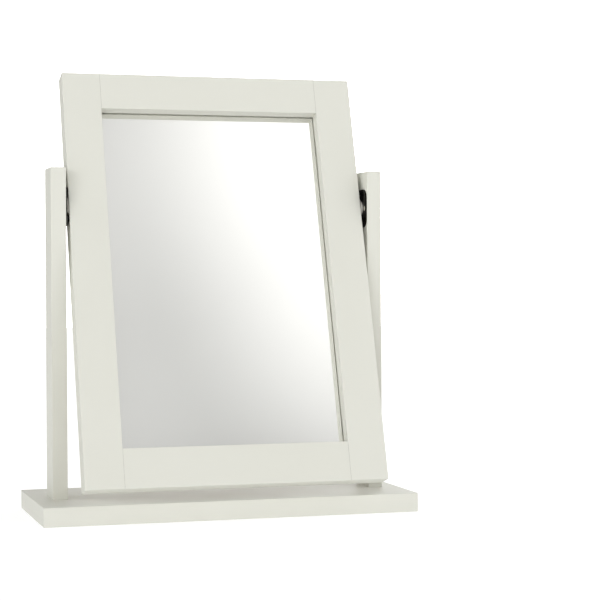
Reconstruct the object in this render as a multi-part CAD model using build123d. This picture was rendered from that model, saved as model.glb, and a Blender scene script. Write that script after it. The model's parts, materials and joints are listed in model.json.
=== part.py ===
"""Dressing table mirror: a framed looking glass that tilts between two posts on a base board.

Millimetres, +Z up, +X to the right and the glass facing -Y. The origin is the middle of the
underside of the base board. The frame is modelled upright about its pivot axis and then leaned
back by rest_tilt, which is how it stands at rest.
"""
from build123d import *
from math import hypot
import os

# Base board, which stands out past the posts at each end
base_overhang = 23.5
base_depth = 206.0
base_thickness = 25.0
base_edge_radius = 1.0

# Posts
post_width = 20.0
post_depth = 50.0
post_above_pivot = 50.5
post_edge_radius = 0.8

# Frame
frame_width = 402.0
frame_height = 565.0
frame_thickness = 27.0
stile_width = 51.0
top_rail_width = 50.0
bottom_rail_width = 52.0
frame_edge_radius = 1.0
opening_edge_radius = 0.6
joint_line_chamfer = 0.3
pivot_above_frame_foot = 380.0
rest_tilt = 17.0
side_gap = 5.5
foot_clearance = 2.0

# Glass and what holds it
glass_recess = 16.0
glass_thickness = 2.8
silvering_thickness = 0.2
glass_clearance = 1.0
rebate_width = 8.0
back_panel_thickness = 3.0
bead_width = 7.0
bead_pin_diameter = 1.4
bead_pin_length = 15.0
side_bead_pins = 3
end_bead_pins = 2

# Dowels in the corners of the frame
corner_dowel_diameter = 8.0
corner_dowel_length = 40.0
corner_dowel_edge = 12.0
corner_dowel_spacing = 18.0

# Dowels and screws that hold each post on the base board
post_dowel_diameter = 8.0
post_dowel_in_base = 12.0
post_dowel_in_post = 28.0
post_screw_diameter = 5.0
post_screw_length = 60.0
post_screw_spacing = 30.0
post_screw_head_diameter = 10.0
post_screw_sink = 3.0

# Friction pivots, one in each side gap
post_plate_height = 52.0
post_plate_side_margin = 2.0
post_plate_corner_radius = 12.0
post_plate_thickness = 2.0
friction_washer_diameter = 22.0
friction_washer_thickness = 1.5
frame_plate_length = 30.0
frame_plate_width = 22.0
plate_edge_radius = 0.4
stud_diameter = 8.0
stud_head_diameter = 11.0
stud_head_height = 2.4
thread_diameter = 6.0
thread_length = 8.4
nut_across_flats = 10.0
nut_height = 5.0
spring_washer_diameter = 16.0
spring_washer_height = 1.8
spring_washer_thickness = 0.8
nut_pocket_diameter = 19.0
nut_pocket_depth = 11.0

# Small countersunk screws of the pivots
post_plate_screw_diameter = 3.5
post_plate_screw_head = 6.6
post_plate_screw_length = 14.0
post_plate_screw_margin = 4.5
frame_plate_screw_diameter = 2.6
frame_plate_screw_head = 5.0
frame_plate_screw_length = 14.0
frame_plate_screw_spacing = 20.0

# Clearances
fit_clearance = 0.05
running_clearance = 0.08
face_clearance = 0.1
dowel_end_gap = 1.0

# Shares of a screw's or dowel's own size
recess_length_share = 0.62
recess_width_share = 0.13
recess_depth_share = 0.55
screw_point_share = 0.2
end_chamfer_share = 0.1

# How near two places must be to count as one, when edges are picked
same_place = 0.01

# Places worked out from the sizes above
pivot_height = base_thickness + foot_clearance + hypot(pivot_above_frame_foot, frame_thickness / 2)
post_height = pivot_height + post_above_pivot - base_thickness
post_inner_x = frame_width / 2 + side_gap
post_middle_x = post_inner_x + post_width / 2
base_width = 2 * (post_inner_x + post_width + base_overhang)
frame_top = frame_height - pivot_above_frame_foot
frame_foot = -pivot_above_frame_foot
opening_half_width = frame_width / 2 - stile_width
opening_top = frame_top - top_rail_width
opening_foot = frame_foot + bottom_rail_width
front_y = -frame_thickness / 2
back_y = frame_thickness / 2
glass_front_y = front_y + glass_recess
silvering_y = glass_front_y + glass_thickness
panel_y = silvering_y + silvering_thickness
bead_y = panel_y + back_panel_thickness
frame_plate_thickness = (
    side_gap - post_plate_thickness - friction_washer_thickness - face_clearance
)
post_plate_depth = post_depth - 2 * post_plate_side_margin
post_plate_screw_spacing = post_plate_depth - 2 * post_plate_screw_margin


def block(x0, x1, y0, y1, z0, z1):
    """A box between two corners."""
    middle = Pos((x0 + x1) / 2, (y0 + y1) / 2, (z0 + z1) / 2)
    return middle * Box(x1 - x0, y1 - y0, z1 - z0)


def rod(start, end, diameter):
    """A round bar from start to end."""
    line = Vector(*end) - Vector(*start)
    plane = Plane(origin=start, z_dir=line)
    return plane * Pos(0, 0, line.length / 2) * Cylinder(diameter / 2, line.length)


def lean(piece):
    """Takes a piece of the upright frame to the pivot and leans it back."""
    return Pos(0, 0, pivot_height) * Rot(-rest_tilt, 0, 0) * piece


def on_side(piece, side):
    """A piece of the right side as it is, or mirrored to the left side."""
    return piece if side > 0 else mirror(piece, about=Plane.YZ)


def round_over(length, radius):
    """What a rounding cutter takes off a corner along X, with the corner at the origin."""
    square = Pos(0, radius / 2, -radius / 2) * Box(length, radius, radius)
    bar = Pos(0, radius, -radius) * Rot(0, 90, 0) * Cylinder(radius, length)
    return square - bar


def countersunk_screw(diameter, length, head_diameter):
    """A wood screw along -Z with the flat of its head at the origin and a cross recess."""
    head_height = (head_diameter - diameter) / 2
    tip_height = diameter
    shank_length = length - head_height - tip_height
    head = Pos(0, 0, -head_height / 2) * Cone(diameter / 2, head_diameter / 2, head_height)
    shank = Pos(0, 0, -head_height - shank_length / 2) * Cylinder(diameter / 2, shank_length)
    tip = Pos(0, 0, -length + tip_height / 2) * Cone(
        screw_point_share * diameter / 2, diameter / 2, tip_height
    )
    slot = Box(
        head_diameter * recess_length_share, head_diameter * recess_width_share,
        head_height * recess_depth_share, align=(Align.CENTER, Align.CENTER, Align.MAX),
    )
    return head + shank + tip - slot - Rot(0, 0, 90) * slot


def countersunk_hole(diameter, depth, head_diameter, clearance):
    """The hole for such a screw, along -Z from the face that the head lies flush with."""
    head_height = (head_diameter - diameter) / 2
    mouth = Pos(0, 0, -head_height / 2) * Cone(
        diameter / 2 + clearance, head_diameter / 2 + clearance, head_height
    )
    bore = Pos(0, 0, -depth / 2) * Cylinder(diameter / 2 + clearance, depth)
    return mouth + bore


def post_screw_places():
    """The feet of the screws in one post: middle of the head, facing down."""
    return [
        Pos(post_middle_x, y, post_screw_sink) * Rot(180, 0, 0)
        for y in (-post_screw_spacing / 2, post_screw_spacing / 2)
    ]


def post_plate_screw_places():
    """The heads of the screws in the right post plate, in front of and behind the pivot."""
    face_x = post_inner_x - post_plate_thickness
    return [
        Pos(face_x, y, pivot_height) * Rot(0, -90, 0)
        for y in (-post_plate_screw_spacing / 2, post_plate_screw_spacing / 2)
    ]


def frame_plate_screw_places():
    """The heads of the screws in the right frame plate, in the upright frame."""
    face_x = frame_width / 2 + frame_plate_thickness
    return [
        Pos(face_x, 0, dz) * Rot(0, 90, 0)
        for dz in (-frame_plate_screw_spacing / 2, frame_plate_screw_spacing / 2)
    ]


def corner_dowel_heights():
    """Heights of the dowels in the top and bottom rails of the upright frame."""
    steps = (corner_dowel_edge, corner_dowel_edge + corner_dowel_spacing)
    return [frame_top - step for step in steps] + [frame_foot + step for step in steps]


def corner_dowel_holes():
    """Holes for the dowels of the right hand corners."""
    reach = corner_dowel_length / 2 + dowel_end_gap
    return [
        rod(
            (opening_half_width - reach, 0, z),
            (opening_half_width + reach, 0, z),
            corner_dowel_diameter + 2 * fit_clearance,
        )
        for z in corner_dowel_heights()
    ]


def evenly(low, high, count):
    """Places spread evenly between two ends, with half a space at each end."""
    step = (high - low) / count
    return [low + step * (index + 0.5) for index in range(count)]


def bead_pin_lines():
    """Start and end of each pin that holds the beads: right side, then top and foot."""
    y = (bead_y + back_y) / 2
    inner_x = opening_half_width + rebate_width - bead_width
    lines = []
    for z in evenly(opening_foot, opening_top, side_bead_pins):
        lines.append(((inner_x, y, z), (inner_x + bead_pin_length, y, z)))
    for x in evenly(-opening_half_width, opening_half_width, end_bead_pins):
        low = opening_foot - rebate_width + bead_width
        high = opening_top + rebate_width - bead_width
        lines.append(((x, y, high), (x, y, high + bead_pin_length)))
        lines.append(((x, y, low), (x, y, low - bead_pin_length)))
    return lines


def bead_pin_holes():
    """Holes for all the pins, both sides."""
    diameter = bead_pin_diameter + 2 * fit_clearance
    holes = []
    for start, end in bead_pin_lines():
        hole = rod(start, end, diameter)
        holes.append(hole)
        if start[0] == end[0]:
            continue
        holes.append(mirror(hole, about=Plane.YZ))
    return holes


def base_board():
    """The board that everything stands on, with sunk screw holes under each post."""
    board = block(
        -base_width / 2, base_width / 2, -base_depth / 2, base_depth / 2, 0, base_thickness
    )
    board = fillet(board.edges(), base_edge_radius)
    cuts = [rod(
        (post_middle_x, 0, base_thickness - post_dowel_in_base - dowel_end_gap),
        (post_middle_x, 0, base_thickness),
        post_dowel_diameter + 2 * fit_clearance,
    )]
    for place in post_screw_places():
        cuts.append(place * countersunk_hole(
            post_screw_diameter, base_thickness, post_screw_head_diameter, fit_clearance
        ))
        cuts.append(place * Cylinder(
            post_screw_head_diameter / 2 + fit_clearance, post_screw_sink,
            align=(Align.CENTER, Align.CENTER, Align.MIN),
        ))
    for cut in cuts:
        board -= cut
        board -= mirror(cut, about=Plane.YZ)
    return board


def post(side):
    """A plain square edged post with a pocket for the pivot nut in its inner face."""
    body = block(
        post_inner_x, post_inner_x + post_width, -post_depth / 2, post_depth / 2,
        base_thickness, base_thickness + post_height,
    )
    foot_edges = body.edges().group_by(Axis.Z)[0]
    body = fillet([edge for edge in body.edges() if edge not in foot_edges], post_edge_radius)
    body -= rod(
        (post_inner_x, 0, pivot_height), (post_inner_x + nut_pocket_depth, 0, pivot_height),
        nut_pocket_diameter,
    )
    body -= rod(
        (post_middle_x, 0, base_thickness),
        (post_middle_x, 0, base_thickness + post_dowel_in_post + dowel_end_gap),
        post_dowel_diameter + 2 * fit_clearance,
    )
    for place in post_screw_places():
        body -= place * countersunk_hole(
            post_screw_diameter, post_screw_length + dowel_end_gap,
            post_screw_head_diameter, fit_clearance,
        )
    for place in post_plate_screw_places():
        body -= place * countersunk_hole(
            post_plate_screw_diameter, post_plate_screw_length + dowel_end_gap,
            post_plate_screw_head, fit_clearance,
        )
    return on_side(body, side)


def post_dowels():
    """One wooden dowel in the foot of each post."""
    low = base_thickness - post_dowel_in_base
    high = base_thickness + post_dowel_in_post
    dowel = rod((post_middle_x, 0, low), (post_middle_x, 0, high), post_dowel_diameter)
    dowel = chamfer(
        dowel.edges().filter_by(GeomType.CIRCLE), post_dowel_diameter * end_chamfer_share
    )
    return [dowel, mirror(dowel, about=Plane.YZ)]


def post_screws():
    """Two long screws up through the base board into each post."""
    screw = countersunk_screw(post_screw_diameter, post_screw_length, post_screw_head_diameter)
    right = [place * screw for place in post_screw_places()]
    return right + [mirror(piece, about=Plane.YZ) for piece in right]


def stile(side):
    """A full height side member, rebated behind the glass, with the pivot seat on its edge."""
    outer_x = frame_width / 2
    body = block(opening_half_width, outer_x, front_y, back_y, frame_foot, frame_top)
    outer_edges = [
        edge for edge in body.edges() if edge.center().X > opening_half_width + same_place
    ]
    body = fillet(outer_edges, frame_edge_radius)
    body -= block(
        opening_half_width, opening_half_width + rebate_width, glass_front_y, back_y,
        opening_foot - rebate_width, opening_top + rebate_width,
    )
    middle_z = (opening_top + opening_foot) / 2
    cutter = round_over(opening_top - opening_foot, opening_edge_radius)
    body -= Pos(opening_half_width, front_y, middle_z) * Rot(0, 90, 0) * mirror(
        cutter, about=Plane.XY
    )
    for hole in corner_dowel_holes() + bead_pin_holes():
        body -= hole
    body -= rod(
        (outer_x - stud_head_height - face_clearance, 0, 0), (outer_x, 0, 0),
        stud_head_diameter + 2 * fit_clearance,
    )
    for place in frame_plate_screw_places():
        body -= place * countersunk_hole(
            frame_plate_screw_diameter, frame_plate_screw_length + dowel_end_gap,
            frame_plate_screw_head, fit_clearance,
        )
    return on_side(body, side)


def rail(inner_z, outer_z):
    """A cross member between the stiles: inner_z faces the glass, outer_z is the outside."""
    upward = 1 if outer_z > inner_z else -1
    low, high = sorted((inner_z, outer_z))
    body = block(-opening_half_width, opening_half_width, front_y, back_y, low, high)
    outside = [
        edge for edge in body.edges().filter_by(Axis.X)
        if abs(edge.center().Z - outer_z) < same_place
    ]
    body = fillet(outside, frame_edge_radius)
    along_opening = [
        edge for edge in body.edges().filter_by(Axis.X)
        if abs(edge.center().Z - inner_z) < same_place
        and abs(edge.center().Y - front_y) < same_place
    ]
    body = fillet(along_opening, opening_edge_radius)
    ends = [
        edge for edge in body.edges().filter_by(Axis.Z)
        if abs(edge.center().Y - front_y) < same_place
    ]
    body = chamfer(ends, joint_line_chamfer)
    body -= block(
        -opening_half_width, opening_half_width, glass_front_y, back_y,
        *sorted((inner_z, inner_z + upward * rebate_width)),
    )
    for hole in corner_dowel_holes():
        body -= hole
        body -= mirror(hole, about=Plane.YZ)
    for hole in bead_pin_holes():
        body -= hole
    return body


def corner_dowels():
    """Two dowels in each corner of the frame."""
    half = corner_dowel_length / 2
    dowels = []
    for z in corner_dowel_heights():
        dowel = rod(
            (opening_half_width - half, 0, z), (opening_half_width + half, 0, z),
            corner_dowel_diameter,
        )
        dowel = chamfer(
            dowel.edges().filter_by(GeomType.CIRCLE), corner_dowel_diameter * end_chamfer_share
        )
        dowels += [dowel, mirror(dowel, about=Plane.YZ)]
    return dowels


def pane(front, thickness):
    """A sheet as large as the rebate takes, with its front face at front."""
    half = opening_half_width + rebate_width - glass_clearance
    low = opening_foot - rebate_width + glass_clearance
    high = opening_top + rebate_width - glass_clearance
    return block(-half, half, front, front + thickness, low, high)


def end_bead(top):
    """The retaining bead along the top or the foot of the rebate."""
    half = opening_half_width + rebate_width
    if top:
        outer_z = opening_top + rebate_width
        body = block(-half, half, bead_y, back_y, outer_z - bead_width, outer_z)
    else:
        outer_z = opening_foot - rebate_width
        body = block(-half, half, bead_y, back_y, outer_z, outer_z + bead_width)
    for hole in bead_pin_holes():
        body -= hole
    return body


def side_bead(side):
    """The retaining bead up one side of the rebate, between the end beads."""
    outer_x = opening_half_width + rebate_width
    low = opening_foot - rebate_width + bead_width
    high = opening_top + rebate_width - bead_width
    body = block(outer_x - bead_width, outer_x, bead_y, back_y, low, high)
    for hole in bead_pin_holes():
        body -= hole
    return on_side(body, side)


def bead_pins():
    """The pins driven through the beads into the frame."""
    pins = []
    for start, end in bead_pin_lines():
        pin = rod(start, end, bead_pin_diameter)
        pins.append(pin)
        if start[0] != end[0]:
            pins.append(mirror(pin, about=Plane.YZ))
    return pins


def post_plate(side):
    """The plate with round corners screwed to the inner face of a post."""
    inner_x = post_inner_x - post_plate_thickness
    start = Plane(origin=(inner_x, 0, pivot_height), x_dir=(0, 0, 1), z_dir=(1, 0, 0))
    plate = start * extrude(
        RectangleRounded(post_plate_height, post_plate_depth, post_plate_corner_radius),
        post_plate_thickness,
    )
    inside = plate.faces().sort_by(Axis.X)[0]
    plate = fillet(inside.edges(), plate_edge_radius)
    plate -= rod(
        (inner_x, 0, pivot_height), (post_inner_x, 0, pivot_height),
        stud_diameter + 2 * running_clearance,
    )
    for place in post_plate_screw_places():
        plate -= place * countersunk_hole(
            post_plate_screw_diameter, post_plate_screw_length, post_plate_screw_head,
            fit_clearance,
        )
    return on_side(plate, side)


def post_plate_screws():
    """Two countersunk screws in each post plate."""
    screw = countersunk_screw(
        post_plate_screw_diameter, post_plate_screw_length, post_plate_screw_head
    )
    right = [place * screw for place in post_plate_screw_places()]
    return right + [mirror(piece, about=Plane.YZ) for piece in right]


def friction_washer(side):
    """The nylon washer that the two plates of a pivot squeeze."""
    outer_x = post_inner_x - post_plate_thickness
    inner_x = outer_x - friction_washer_thickness
    washer = rod(
        (inner_x, 0, pivot_height), (outer_x, 0, pivot_height), friction_washer_diameter
    )
    washer -= rod(
        (inner_x, 0, pivot_height), (outer_x, 0, pivot_height),
        stud_diameter + 2 * running_clearance,
    )
    return on_side(washer, side)


def frame_plate(side):
    """The round ended plate screwed to the edge of a stile."""
    start = Plane(origin=(frame_width / 2, 0, 0), x_dir=(0, 0, 1), z_dir=(1, 0, 0))
    plate = start * extrude(
        SlotOverall(frame_plate_length, frame_plate_width), frame_plate_thickness
    )
    outside = plate.faces().sort_by(Axis.X)[-1]
    plate = fillet(outside.edges(), plate_edge_radius)
    plate -= rod(
        (frame_width / 2, 0, 0), (frame_width / 2 + frame_plate_thickness, 0, 0),
        stud_diameter + 2 * fit_clearance,
    )
    for place in frame_plate_screw_places():
        plate -= place * countersunk_hole(
            frame_plate_screw_diameter, frame_plate_screw_length, frame_plate_screw_head,
            fit_clearance,
        )
    return on_side(plate, side)


def frame_plate_screws():
    """Two countersunk screws in each frame plate."""
    screw = countersunk_screw(
        frame_plate_screw_diameter, frame_plate_screw_length, frame_plate_screw_head
    )
    right = [place * screw for place in frame_plate_screw_places()]
    return right + [mirror(piece, about=Plane.YZ) for piece in right]


def pivot_stud(side):
    """The headed stud that turns with the frame plate, threaded for the lock nut."""
    face_x = frame_width / 2
    shoulder_x = post_inner_x + face_clearance
    end_x = shoulder_x + thread_length
    head = rod((face_x - stud_head_height, 0, 0), (face_x, 0, 0), stud_head_diameter)
    shoulder = rod((face_x, 0, 0), (shoulder_x, 0, 0), stud_diameter)
    thread = rod((shoulder_x, 0, 0), (end_x, 0, 0), thread_diameter)
    thread_end = thread.edges().filter_by(GeomType.CIRCLE).sort_by(Axis.X)[-1]
    thread = chamfer(thread_end, thread_diameter * end_chamfer_share)
    return on_side(head + shoulder + thread, side)


def spring_washer(side):
    """The coned spring that keeps the friction even, between the post plate and the nut."""
    near_x = post_inner_x + 2 * face_clearance
    outer_radius = spring_washer_diameter / 2
    inner_radius = thread_diameter / 2 + fit_clearance
    rise = spring_washer_height - spring_washer_thickness
    with BuildPart() as cone:
        with BuildSketch(Plane.XY):
            with BuildLine():
                Polyline(
                    (near_x, outer_radius),
                    (near_x + spring_washer_thickness, outer_radius),
                    (near_x + spring_washer_height, inner_radius),
                    (near_x + rise, inner_radius),
                    close=True,
                )
            make_face()
        revolve(axis=Axis.X)
    return on_side(cone.part, side)


def lock_nut(side):
    """A six sided nut on the thread of the stud."""
    near_x = post_inner_x + 2 * face_clearance + spring_washer_height
    start = Plane(origin=(near_x, 0, 0), x_dir=(0, 0, 1), z_dir=(1, 0, 0))
    hexagon = RegularPolygon(nut_across_flats / 2, 6, major_radius=False)
    nut = start * extrude(hexagon, nut_height)
    nut -= rod(
        (near_x, 0, 0), (near_x + nut_height, 0, 0), thread_diameter + 2 * fit_clearance
    )
    return on_side(nut, side)


def save(name, solids):
    """Writes one sub-part, made of one solid or of several alike."""
    pieces = solids if isinstance(solids, list) else [solids]
    separate = [solid for piece in pieces for solid in piece.solids()]
    shape = separate[0] if len(separate) == 1 else Compound(children=separate)
    shape.label = name
    export_step(shape, os.path.join("parts", name + ".step"))
    print(name, len(separate), "solid(s)")


def save_leaning(name, solids):
    """Writes one sub-part of the frame in its rest position."""
    pieces = solids if isinstance(solids, list) else [solids]
    save(name, [lean(piece) for piece in pieces])


os.makedirs("parts", exist_ok=True)
RIGHT, LEFT = 1, -1

save("base_board", base_board())
save("post_dowels", post_dowels())
save("post_screws", post_screws())
save("post_plate_screws", post_plate_screws())
save_leaning("top_rail", rail(opening_top, frame_top))
save_leaning("bottom_rail", rail(opening_foot, frame_foot))
save_leaning("corner_dowels", corner_dowels())
save_leaning("mirror_glass", pane(glass_front_y, glass_thickness))
save_leaning("silvering", pane(silvering_y, silvering_thickness))
save_leaning("back_panel", pane(panel_y, back_panel_thickness))
save_leaning("top_bead", end_bead(top=True))
save_leaning("bottom_bead", end_bead(top=False))
save_leaning("bead_pins", bead_pins())
save_leaning("frame_plate_screws", frame_plate_screws())
for side, word in ((LEFT, "left"), (RIGHT, "right")):
    save(word + "_post", post(side))
    save(word + "_post_plate", post_plate(side))
    save(word + "_friction_washer", friction_washer(side))
    save_leaning(word + "_stile", stile(side))
    save_leaning(word + "_bead", side_bead(side))
    save_leaning(word + "_frame_plate", frame_plate(side))
    save_leaning(word + "_pivot_stud", pivot_stud(side))
    save_leaning(word + "_spring_washer", spring_washer(side))
    save_leaning(word + "_lock_nut", lock_nut(side))
print("pivot height", round(pivot_height, 2), "post height", round(post_height, 2))
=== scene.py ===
import json
from math import cos, radians, sin

import bpy
import numpy as np
from mathutils import Euler, Matrix, Vector


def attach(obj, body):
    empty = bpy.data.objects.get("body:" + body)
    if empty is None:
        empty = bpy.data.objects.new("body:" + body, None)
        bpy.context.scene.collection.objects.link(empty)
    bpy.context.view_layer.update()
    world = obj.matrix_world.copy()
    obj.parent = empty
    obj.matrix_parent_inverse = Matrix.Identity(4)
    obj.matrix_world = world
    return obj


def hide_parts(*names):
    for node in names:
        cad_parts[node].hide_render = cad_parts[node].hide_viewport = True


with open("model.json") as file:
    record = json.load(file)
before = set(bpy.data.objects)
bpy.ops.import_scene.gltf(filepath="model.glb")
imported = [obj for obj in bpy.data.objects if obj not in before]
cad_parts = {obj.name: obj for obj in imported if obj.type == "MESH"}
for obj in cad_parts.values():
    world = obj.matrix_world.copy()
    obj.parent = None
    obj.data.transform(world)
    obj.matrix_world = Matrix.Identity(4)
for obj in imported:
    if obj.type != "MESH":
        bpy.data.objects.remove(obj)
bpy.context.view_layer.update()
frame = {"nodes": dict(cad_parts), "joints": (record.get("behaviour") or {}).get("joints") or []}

# The object's own places
pivot_height = frame["joints"][0]["pos_m"][2]
rest_tilt = 17.0

# The glass
arris = 0.0004          # width of the seam ground along its edges
behind_lip = 0.00002    # a hair behind the lip, so that their faces don't coincide
into_silver = 0.0001    # the slab's back lies within the silver

# The dark hairlines in the joints of the frame: dust, plus painted shade where the paint has
# parted. The corners of their section are steps from the joint towards the rail's middle and back
# from the face. Their ends stop short of the rail's outer and inner edge.
hairline_section = np.array([(-0.00001, 0.00012), (0.00019, 0.00012), (-0.00001, 0.00034)])
outer_end = 0.0006
inner_end = 0.0003

# The dark pads above and below each bright plate of the frame
pad_half_width = 0.0122
pad_half_height = 0.0043
pad_squareness = 5.0    # the power of its rounded outline
pad_from_pivot = 0.0197
pad_thickness = 0.0021
pad_bevel = 0.0004
pad_points = 64
into_wood = 0.0001      # their foot lies within the stile

# Camera, worked out from the straight edges in the photograph
camera_place = (-0.5756, -2.3274, 0.3125)
camera_yaw = 16.585
camera_pitch = -0.716
camera_roll = -0.258
camera_lens = 106.65
camera_sensor = 36.0

# Studio: a dim room, with soft lights given as azimuth, elevation, the angles from their middle
# at which they start and end fading, and how much they add to the room's level
room_level = 0.20
soft_lights = {
    "large_softbox_on_the_right": (69.6, 29.7, 36.9, 47.4, 1.23),
    "softbox_on_the_left": (-35.9, 5.6, 21.7, 29.7, 3.49),
    "softbox_in_front": (11.8, 33.2, 2.8, 12.1, 0.50),
    "sweep_on_the_right": (137.0, -14.1, 26.9, 34.9, 3.60),
    "corner_in_front": (14.2, 41.1, 2.0, 10.0, 0.11),
    "white_wall_behind": (152.6, -3.1, 3.9, 30.6, 3.15),
    "lamp_high_behind": (181.3, 46.3, 3.5, 11.5, 3.33),
    "lamp_high_on_the_left": (-105.4, 51.2, 11.0, 19.0, 3.60),
}
floor_radius = 9.0
floor_rings = 48
floor_spokes = 96
floor_glow = 0.56


def linear(colour):
    """The linear colour of an sRGB hex value such as #E2E1D8."""
    parts = np.array([int(colour[i:i + 2], 16) for i in (1, 3, 5)]) / 255
    parts = np.where(parts <= 0.04045, parts / 12.92, ((parts + 0.055) / 1.055) ** 2.4)
    return (*parts, 1.0)


def add(tree, kind, inputs=None, **settings):
    """Adds a node with its settings. An input is a value, or another node's output to link."""
    node = tree.nodes.new(kind)
    for name, value in settings.items():
        setattr(node, name, value)
    for name, value in (inputs or {}).items():
        if isinstance(value, bpy.types.NodeSocket):
            tree.links.new(value, node.inputs[name])
        else:
            node.inputs[name].default_value = value
    return node


def finish(name, make, *details):
    """A material named for a real finish, whose shader make() builds in its tree."""
    material = bpy.data.materials.new(name)
    material.use_nodes = True
    tree = material.node_tree
    tree.nodes.clear()
    shader = make(tree, *details)
    add(tree, "ShaderNodeOutputMaterial", {"Surface": shader.outputs["BSDF"]})
    return material


def rings(name, points, lids=False, smooth=True):
    """A mesh from rings of points (rings, points in a ring, 3), each joined to the next.

    Points run anticlockwise as seen from outside the first ring. lids closes the first and
    the last ring with one flat face each.
    """
    count, length = points.shape[:2]
    index = np.arange(count * length).reshape(count, length)
    index = np.concatenate([index, index[:, :1]], axis=1)
    faces = np.stack(
        [index[:-1, :-1], index[1:, :-1], index[1:, 1:], index[:-1, 1:]], axis=-1
    ).reshape(-1, 4).tolist()
    if lids:
        faces += [index[0, :-1].tolist(), index[-1, -2::-1].tolist()]
    mesh = bpy.data.meshes.new(name)
    mesh.from_pydata(points.reshape(-1, 3).tolist(), [], faces)
    mesh.polygons.foreach_set("use_smooth", [smooth] * len(mesh.polygons))
    piece = bpy.data.objects.new(name, mesh)
    bpy.context.scene.collection.objects.link(piece)
    return piece


def lean(points, angle=rest_tilt):
    """Turns points of the upright frame back about the pivots, top away from the viewer."""
    y, z = points[..., 1], points[..., 2] - pivot_height
    c, s = cos(radians(angle)), sin(radians(angle))
    return np.stack(
        [points[..., 0], c * y + s * z, pivot_height - s * y + c * z], axis=-1
    )


def upright_box(name):
    """Lowest and highest corner of a node with the frame turned upright about its pivots."""
    vertices = frame["nodes"][name].data.vertices
    flat = np.empty(3 * len(vertices))
    vertices.foreach_get("co", flat)
    corners = lean(flat.reshape(-1, 3), -rest_tilt)
    return corners.min(axis=0), corners.max(axis=0)


# Finishes. Each size is the real one, unless its comment says that it is drawn coarser.

# How a pattern that runs along Z is turned to the length of a piece
upright = (0.0, 0.0, 0.0)
leaning = (radians(rest_tilt), 0.0, 0.0)
lengthways = (0.0, radians(90), 0.0)


def ivory_satin_paint(tree, turn):
    """Two coats of ivory satin paint, sprayed on close grained wood and rubbed down between.

    It gives the eye an even, soft sheen. A very fine orange peel breaks up the reflections,
    and the grain below shows through as faint long ripples. turn brings the grain to local Z.
    """
    peel_size = 0.0035      # real peel is about 2 mm, drawn coarser so that it shows
    peel_height = 0.000006
    grain_width = 0.0016    # real ripples are half a millimetre apart, drawn coarser to show
    grain_length = 0.09
    grain_height = 0.000008
    cloud_size = 0.12       # slow change of tone, where one pass of the gun meets the next
    place = add(tree, "ShaderNodeTexCoord").outputs["Object"]
    along = add(tree, "ShaderNodeMapping", {"Vector": place, "Rotation": turn}).outputs[0]
    peel = add(tree, "ShaderNodeTexNoise", {
        "Vector": along, "Scale": 1 / peel_size, "Detail": 1.5, "Roughness": 0.45,
    }).outputs[0]
    stretched = add(tree, "ShaderNodeMapping", {
        "Vector": along, "Scale": (1 / grain_width, 1 / grain_width, 1 / grain_length),
    }).outputs[0]
    grain = add(tree, "ShaderNodeTexNoise", {
        "Vector": stretched, "Scale": 1.0, "Detail": 3.0, "Roughness": 0.6,
    }).outputs[0]
    cloud = add(tree, "ShaderNodeTexNoise", {
        "Vector": along, "Scale": 1 / cloud_size, "Detail": 2.0, "Roughness": 0.5,
    }).outputs[0]
    grain_bump = add(tree, "ShaderNodeBump", {
        "Height": grain, "Distance": grain_height, "Strength": 1.0,
    }).outputs[0]
    bump = add(tree, "ShaderNodeBump", {
        "Height": peel, "Distance": peel_height, "Strength": 1.0, "Normal": grain_bump,
    }).outputs[0]
    colour = add(tree, "ShaderNodeMix", {
        0: cloud, 6: linear("#D2D2C8"), 7: linear("#D5D5CC"),
    }, data_type="RGBA").outputs[2]
    sheen = add(tree, "ShaderNodeMapRange", {
        "Value": cloud, "From Min": 0.3, "From Max": 0.7, "To Min": 0.50, "To Max": 0.57,
    }).outputs[0]
    return add(tree, "ShaderNodeBsdfPrincipled", {
        "Base Color": colour, "Roughness": sheen, "IOR": 1.5, "Normal": bump,
    })


def float_glass(tree):
    """Clear float glass, polished by the tin bath it was made on: a faint green in its depth.

    Nearly all light goes straight through to the silver, so it is see-through and unbent.
    """
    return add(tree, "ShaderNodeBsdfPrincipled", {
        "Base Color": linear("#CDD6CB"), "Roughness": 0.02, "IOR": 1.52, "Alpha": 0.06,
    })


def silver_coat(tree):
    """Silver laid down wet on the back of the glass: the mirror itself, with no grain at all."""
    return add(tree, "ShaderNodeBsdfPrincipled", {
        "Base Color": linear("#F8F7F4"), "Metallic": 1.0, "Roughness": 0.0,
    })


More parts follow.
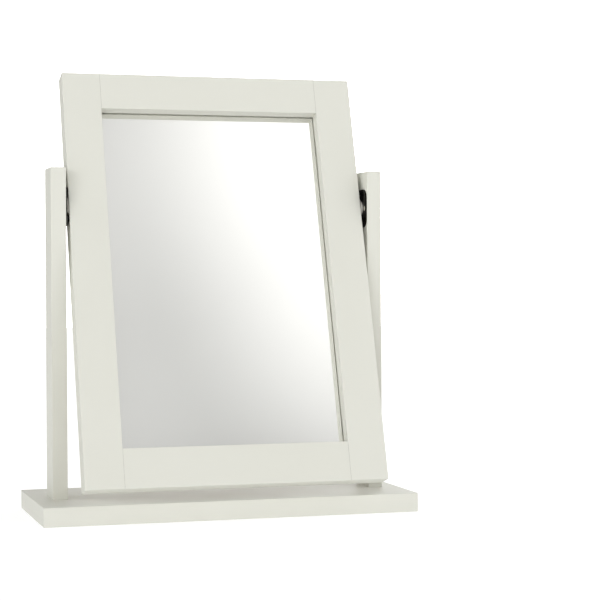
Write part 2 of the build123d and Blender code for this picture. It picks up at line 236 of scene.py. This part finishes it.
def hardboard(tree):
    """Smooth faced hardboard, pressed from wood fibre: dark brown, flecked and slightly waxy."""
    fibre_size = 0.0018     # bundles of fibre
    fibre_height = 0.00003
    fleck_size = 0.006      # scraps of bark
    place = add(tree, "ShaderNodeTexCoord").outputs["Object"]
    fibre = add(tree, "ShaderNodeTexNoise", {
        "Vector": place, "Scale": 1 / fibre_size, "Detail": 4.0, "Roughness": 0.7,
        "Distortion": 1.2,
    }).outputs[0]
    fleck = add(tree, "ShaderNodeTexNoise", {
        "Vector": place, "Scale": 1 / fleck_size, "Detail": 5.0, "Roughness": 0.75,
        "Distortion": 2.0,
    }).outputs[0]
    spread = add(tree, "ShaderNodeMapRange", {
        "Value": fibre, "From Min": 0.3, "From Max": 0.7, "To Min": 0.0, "To Max": 1.0,
    }).outputs[0]
    ground = add(tree, "ShaderNodeMix", {
        0: spread, 6: linear("#5E4029"), 7: linear("#80603F"),
    }, data_type="RGBA").outputs[2]
    dark = add(tree, "ShaderNodeMapRange", {
        "Value": fleck, "From Min": 0.58, "From Max": 0.7, "To Min": 0.0, "To Max": 0.55,
    }).outputs[0]
    colour = add(tree, "ShaderNodeMix", {
        0: dark, 6: ground, 7: linear("#3C2717"),
    }, data_type="RGBA").outputs[2]
    bump = add(tree, "ShaderNodeBump", {
        "Height": fibre, "Distance": fibre_height, "Strength": 1.0,
    }).outputs[0]
    return add(tree, "ShaderNodeBsdfPrincipled", {
        "Base Color": colour, "Roughness": 0.5, "IOR": 1.5, "Normal": bump,
    })


def planed_wood(tree, turn, pale, dark, ring_width, ring_length, gloss):
    """Bare planed or turned wood: growth rings as long wavering bands, fine pores along them."""
    pore_width = 0.0004     # real pores are under 0.1 mm wide, drawn coarser so that they show
    pore_length = 0.008
    pore_depth = 0.00003
    place = add(tree, "ShaderNodeTexCoord").outputs["Object"]
    along = add(tree, "ShaderNodeMapping", {"Vector": place, "Rotation": turn}).outputs[0]
    ring_place = add(tree, "ShaderNodeMapping", {
        "Vector": along, "Scale": (1 / ring_width, 1 / ring_width, 1 / ring_length),
    }).outputs[0]
    growth = add(tree, "ShaderNodeTexNoise", {
        "Vector": ring_place, "Scale": 1.0, "Detail": 2.0, "Roughness": 0.5, "Distortion": 0.4,
    }).outputs[0]
    pore_place = add(tree, "ShaderNodeMapping", {
        "Vector": along, "Scale": (1 / pore_width, 1 / pore_width, 1 / pore_length),
    }).outputs[0]
    pores = add(tree, "ShaderNodeTexNoise", {
        "Vector": pore_place, "Scale": 1.0, "Detail": 2.0, "Roughness": 0.6,
    }).outputs[0]
    band = add(tree, "ShaderNodeMapRange", {
        "Value": growth, "From Min": 0.35, "From Max": 0.65, "To Min": 0.0, "To Max": 1.0,
    }).outputs[0]
    ground = add(tree, "ShaderNodeMix", {
        0: band, 6: linear(pale), 7: linear(dark),
    }, data_type="RGBA").outputs[2]
    pit = add(tree, "ShaderNodeMapRange", {
        "Value": pores, "From Min": 0.6, "From Max": 0.75, "To Min": 0.0, "To Max": 0.35,
    }).outputs[0]
    colour = add(tree, "ShaderNodeMix", {
        0: pit, 6: ground, 7: linear(dark),
    }, data_type="RGBA").outputs[2]
    bump = add(tree, "ShaderNodeBump", {
        "Height": pores, "Distance": pore_depth, "Strength": 1.0,
    }).outputs[0]
    return add(tree, "ShaderNodeBsdfPrincipled", {
        "Base Color": colour, "Roughness": gloss, "IOR": 1.5, "Normal": bump,
    })


def plated_steel(tree, pale, dark, low, high):
    """Drawn or stamped steel, plated: soft clouds in its tone, and scuffs that blur its gloss."""
    cloud_size = 0.004
    scuff_size = 0.0005     # real scuffs are about 0.1 mm wide, drawn coarser so that they show
    scuff_height = 0.000002
    place = add(tree, "ShaderNodeTexCoord").outputs["Object"]
    cloud = add(tree, "ShaderNodeTexNoise", {
        "Vector": place, "Scale": 1 / cloud_size, "Detail": 2.0, "Roughness": 0.5,
    }).outputs[0]
    scuff = add(tree, "ShaderNodeTexNoise", {
        "Vector": place, "Scale": 1 / scuff_size, "Detail": 2.0, "Roughness": 0.6,
    }).outputs[0]
    colour = add(tree, "ShaderNodeMix", {
        0: cloud, 6: linear(dark), 7: linear(pale),
    }, data_type="RGBA").outputs[2]
    rough = add(tree, "ShaderNodeMapRange", {
        "Value": scuff, "From Min": 0.3, "From Max": 0.7, "To Min": low, "To Max": high,
    }).outputs[0]
    bump = add(tree, "ShaderNodeBump", {
        "Height": scuff, "Distance": scuff_height, "Strength": 1.0,
    }).outputs[0]
    return add(tree, "ShaderNodeBsdfPrincipled", {
        "Base Color": colour, "Metallic": 1.0, "Roughness": rough, "Normal": bump,
    })


def natural_nylon(tree):
    """Washers moulded from natural nylon: milky, with a soft gloss and a little light in them."""
    cloud_size = 0.003      # streaks left where the melt flowed
    place = add(tree, "ShaderNodeTexCoord").outputs["Object"]
    cloud = add(tree, "ShaderNodeTexNoise", {
        "Vector": place, "Scale": 1 / cloud_size, "Detail": 2.0, "Roughness": 0.5,
    }).outputs[0]
    colour = add(tree, "ShaderNodeMix", {
        0: cloud, 6: linear("#E4E2D8"), 7: linear("#F0EEE6"),
    }, data_type="RGBA").outputs[2]
    return add(tree, "ShaderNodeBsdfPrincipled", {
        "Base Color": colour, "Roughness": 0.4, "IOR": 1.53,
    })


def dust_and_painted_shade_in_the_joint(tree):
    """Fine grey brown dust where the paint has parted, its dark tone partly painted shade of the
    crack: dull and dark.
    """
    clump_size = 0.006      # real clumps are about 1 mm long, drawn coarser so that they show
    place = add(tree, "ShaderNodeTexCoord").outputs["Object"]
    clumps = add(tree, "ShaderNodeTexNoise", {
        "Vector": place, "Scale": 1 / clump_size, "Detail": 3.0, "Roughness": 0.6,
    }).outputs[0]
    colour = add(tree, "ShaderNodeMix", {
        0: clumps, 6: linear("#2A2822"), 7: linear("#77746A"),
    }, data_type="RGBA").outputs[2]
    return add(tree, "ShaderNodeBsdfPrincipled", {
        "Base Color": colour, "Roughness": 0.95, "IOR": 1.5,
    })


paint_upright = finish("ivory_satin_paint_upright", ivory_satin_paint, upright)
paint_leaning = finish("ivory_satin_paint_leaning", ivory_satin_paint, leaning)
paint_lengthways = finish("ivory_satin_paint_lengthways", ivory_satin_paint, lengthways)
glass = finish("polished_float_glass", float_glass)
silver = finish("wet_silvering", silver_coat)
board_brown = finish("smooth_hardboard", hardboard)

# Pale and dark wood, width and length of the bands, roughness. Planed pine is honey coloured
# and boldly banded, turned beech is pinker and finer.
pine = ("#E2C796", "#C49A62", 0.0030, 0.11, 0.6)
beech = ("#D3AC7E", "#B98D5E", 0.0016, 0.03, 0.5)
pine_leaning = finish("planed_pine_leaning", planed_wood, leaning, *pine)
pine_lengthways = finish("planed_pine_lengthways", planed_wood, lengthways, *pine)
beech_upright = finish("turned_beech_upright", planed_wood, upright, *beech)
beech_lengthways = finish("turned_beech_lengthways", planed_wood, lengthways, *beech)

# Pale and dark clouds, lowest and highest roughness. Black nickel has a soft gleam on near
# black, satin nickel is warm and milky, and bright zinc is cool and the glossiest.
black_nickel = finish("black_nickel_plate", plated_steel, "#1E1D19", "#131210", 0.22, 0.34)
satin_nickel = finish("satin_nickel_plate", plated_steel, "#E6E3DA", "#D2CEC4", 0.34, 0.48)
bright_zinc = finish("bright_zinc_plate", plated_steel, "#DADDE0", "#BFC4C6", 0.20, 0.34)

nylon = finish("natural_nylon", natural_nylon)
# Dark dust with painted shade, for the hairline cracks in the frame's joints
joint_dust_and_shade = finish("dust_and_painted_shade_in_the_joint", dust_and_painted_shade_in_the_joint)

finish_of = {
    "base_board": paint_lengthways,
    "left_post": paint_upright,
    "right_post": paint_upright,
    "left_stile": paint_leaning,
    "right_stile": paint_leaning,
    "top_rail": paint_lengthways,
    "bottom_rail": paint_lengthways,
    "mirror_glass": glass,
    "silvering": silver,
    "back_panel": board_brown,
    "top_bead": pine_lengthways,
    "bottom_bead": pine_lengthways,
    "left_bead": pine_leaning,
    "right_bead": pine_leaning,
    "bead_pins": bright_zinc,
    "post_dowels": beech_upright,
    "corner_dowels": beech_lengthways,
    "post_screws": bright_zinc,
    "post_plate_screws": satin_nickel,
    "frame_plate_screws": satin_nickel,
}
for side in ("left_", "right_"):
    finish_of[side + "post_plate"] = black_nickel
    finish_of[side + "friction_washer"] = nylon
    finish_of[side + "frame_plate"] = satin_nickel
    finish_of[side + "pivot_stud"] = satin_nickel
    finish_of[side + "spring_washer"] = bright_zinc
    finish_of[side + "lock_nut"] = bright_zinc

for name, node in frame["nodes"].items():
    node.data.materials.clear()
    node.data.materials.append(finish_of[name])


# Own pieces

def seamed_glass():
    """The glass with its sharp edges taken off: square rings from the front face to the back.

    Each ring is a rectangle, inset by the arris at both faces. The slab ends inside the
    silver, so that light meets the silver from within the glass, as in a real mirror.
    """
    low, high = upright_box("mirror_glass")
    front = low[1] + behind_lip
    back = high[1] + into_silver
    inset = np.array([arris, 0.0, 0.0, arris])
    depth = np.array([front, front + arris, back - arris, back])
    corner = np.array([(-1, -1), (1, -1), (1, 1), (-1, 1)])
    middle, half = (low + high) / 2, (high - low) / 2
    x = middle[0] + corner[None, :, 0] * (half[0] - inset[:, None])
    z = middle[2] + corner[None, :, 1] * (half[2] - inset[:, None])
    y = np.broadcast_to(depth[:, None], x.shape)
    piece = rings("glass_slab", lean(np.stack([x, y, z], axis=-1)), lids=True, smooth=False)
    piece.data.materials.append(glass)
    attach(piece, "mirror_frame")
    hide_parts("mirror_glass")


def joint_hairlines():
    """Where rails meet stiles the paint has parted: a dark hairline in the root of each groove,
    partly dust and partly painted shade of the narrow crack.

    Each line is a prism along the joint. Its section is a triangle, with two corners a hair
    below the face of the frame and the third in the wood at the root, all given as steps
    from the joint towards the middle of the rail and back from the face.
    """
    low, high = upright_box("bottom_rail")
    top_low, top_high = upright_box("top_rail")
    for side in (-1, 1):
        for word, foot, head in (
            ("bottom", low[2] + outer_end, high[2] - inner_end),
            ("top", top_low[2] + inner_end, top_high[2] - outer_end),
        ):
            across, back = hairline_section[::side].T
            points = np.empty((2, 3, 3))
            points[..., 0] = side * (high[0] - across)
            points[..., 1] = low[1] + back
            points[..., 2] = np.array([[foot], [head]])
            name = f"{word}_{'left' if side < 0 else 'right'}_hairline"
            line = rings(name, lean(points), lids=True, smooth=False)
            line.data.materials.append(joint_dust_and_shade)
            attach(line, "mirror_frame")


def dark_pads():
    """Small black pads on the edges of the frame, above and below each bright plate.

    Seen from the side, a pad is a superellipse: its half sizes times the cosine and the sine
    of the turn, each to the power 2 / squareness. The outline is carried down from a smaller
    top ring over the bevel and straight into the wood.
    """
    half_width = upright_box("right_stile")[1][0]
    turns = np.linspace(0, 2 * np.pi, pad_points, endpoint=False)
    proud = np.array([pad_thickness, pad_thickness - pad_bevel, -into_wood])
    inset = np.array([pad_bevel, 0.0, 0.0])
    for side in (-1, 1):
        c, s = np.cos(side * turns), np.sin(side * turns)
        across = np.sign(c) * np.abs(c) ** (2 / pad_squareness)
        up = np.sign(s) * np.abs(s) ** (2 / pad_squareness)
        for word, way in (("lower", -1), ("upper", 1)):
            points = np.empty((len(proud), pad_points, 3))
            points[..., 0] = side * (half_width + proud[:, None])
            points[..., 1] = (pad_half_width - inset[:, None]) * across
            points[..., 2] = (
                pivot_height + way * pad_from_pivot + (pad_half_height - inset[:, None]) * up
            )
            name = f"{'left' if side < 0 else 'right'}_{word}_pad"
            pad = rings(name, lean(points), lids=True, smooth=False)
            pad.data.materials.append(black_nickel)
            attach(pad, "mirror_frame")


seamed_glass()
joint_hairlines()
dark_pads()


# Studio

def direction(azimuth, elevation):
    """A unit vector: azimuth 0 points to -Y and turns towards +X, elevation is above level."""
    a, e = radians(azimuth), radians(elevation)
    return Vector((cos(e) * sin(a), -cos(e) * cos(a), sin(e)))


def studio_light():
    """The room as the light sees it: one level, with a soft edged disc added for each light."""
    world = bpy.data.worlds.new("studio")
    bpy.context.scene.world = world
    world.use_nodes = True
    tree = world.node_tree
    tree.nodes.clear()
    ray = add(tree, "ShaderNodeTexCoord").outputs["Generated"]
    level = room_level
    for azimuth, elevation, full, edge, gain in soft_lights.values():
        nearness = add(tree, "ShaderNodeVectorMath", {
            0: ray, 1: direction(azimuth, elevation),
        }, operation="DOT_PRODUCT").outputs["Value"]
        disc = add(tree, "ShaderNodeMapRange", {
            "Value": nearness, "From Min": cos(radians(edge)), "From Max": cos(radians(full)),
            "To Min": 0.0, "To Max": gain,
        }, interpolation_type="SMOOTHSTEP").outputs[0]
        level = add(tree, "ShaderNodeMath", {0: disc, 1: level}, operation="ADD").outputs[0]
    light = add(tree, "ShaderNodeBackground", {"Color": (1, 1, 1, 1), "Strength": level})
    add(tree, "ShaderNodeOutputWorld", {"Surface": light.outputs[0]})


def pale_floor(tree):
    """Matt white paper: its glow stands for the light that a studio sweep gets all over."""
    return add(tree, "ShaderNodeBsdfPrincipled", {
        "Base Color": linear("#C8C8C8"), "Roughness": 0.9,
        "Emission Color": (1, 1, 1, 1), "Emission Strength": floor_glow,
    })


def floor_disc():
    """A flat disc: rings of points at radii that grow with the square of their number."""
    radii = floor_radius * np.linspace(0, 1, floor_rings) ** 2
    turns = np.linspace(0, 2 * np.pi, floor_spokes, endpoint=False)
    points = np.stack([
        radii[:, None] * np.cos(turns), radii[:, None] * np.sin(turns),
        np.zeros((floor_rings, floor_spokes)),
    ], axis=-1)
    disc = rings("floor", points)
    disc.data.materials.append(finish("white_paper", pale_floor))


def photo_camera():
    """The camera that took the photograph. Its image is square."""
    data = bpy.data.cameras.new("photo_camera")
    data.sensor_width = camera_sensor
    data.lens = camera_lens
    camera = bpy.data.objects.new("photo_camera", data)
    bpy.context.scene.collection.objects.link(camera)
    aim = Euler((radians(90 + camera_pitch), 0, radians(-camera_yaw))).to_matrix().to_4x4()
    camera.matrix_world = (
        Matrix.Translation(camera_place) @ aim @ Matrix.Rotation(radians(camera_roll), 4, "Z")
    )
    bpy.context.scene.camera = camera


studio_light()
floor_disc()
photo_camera()
bpy.context.scene.view_settings.view_transform = "Standard"
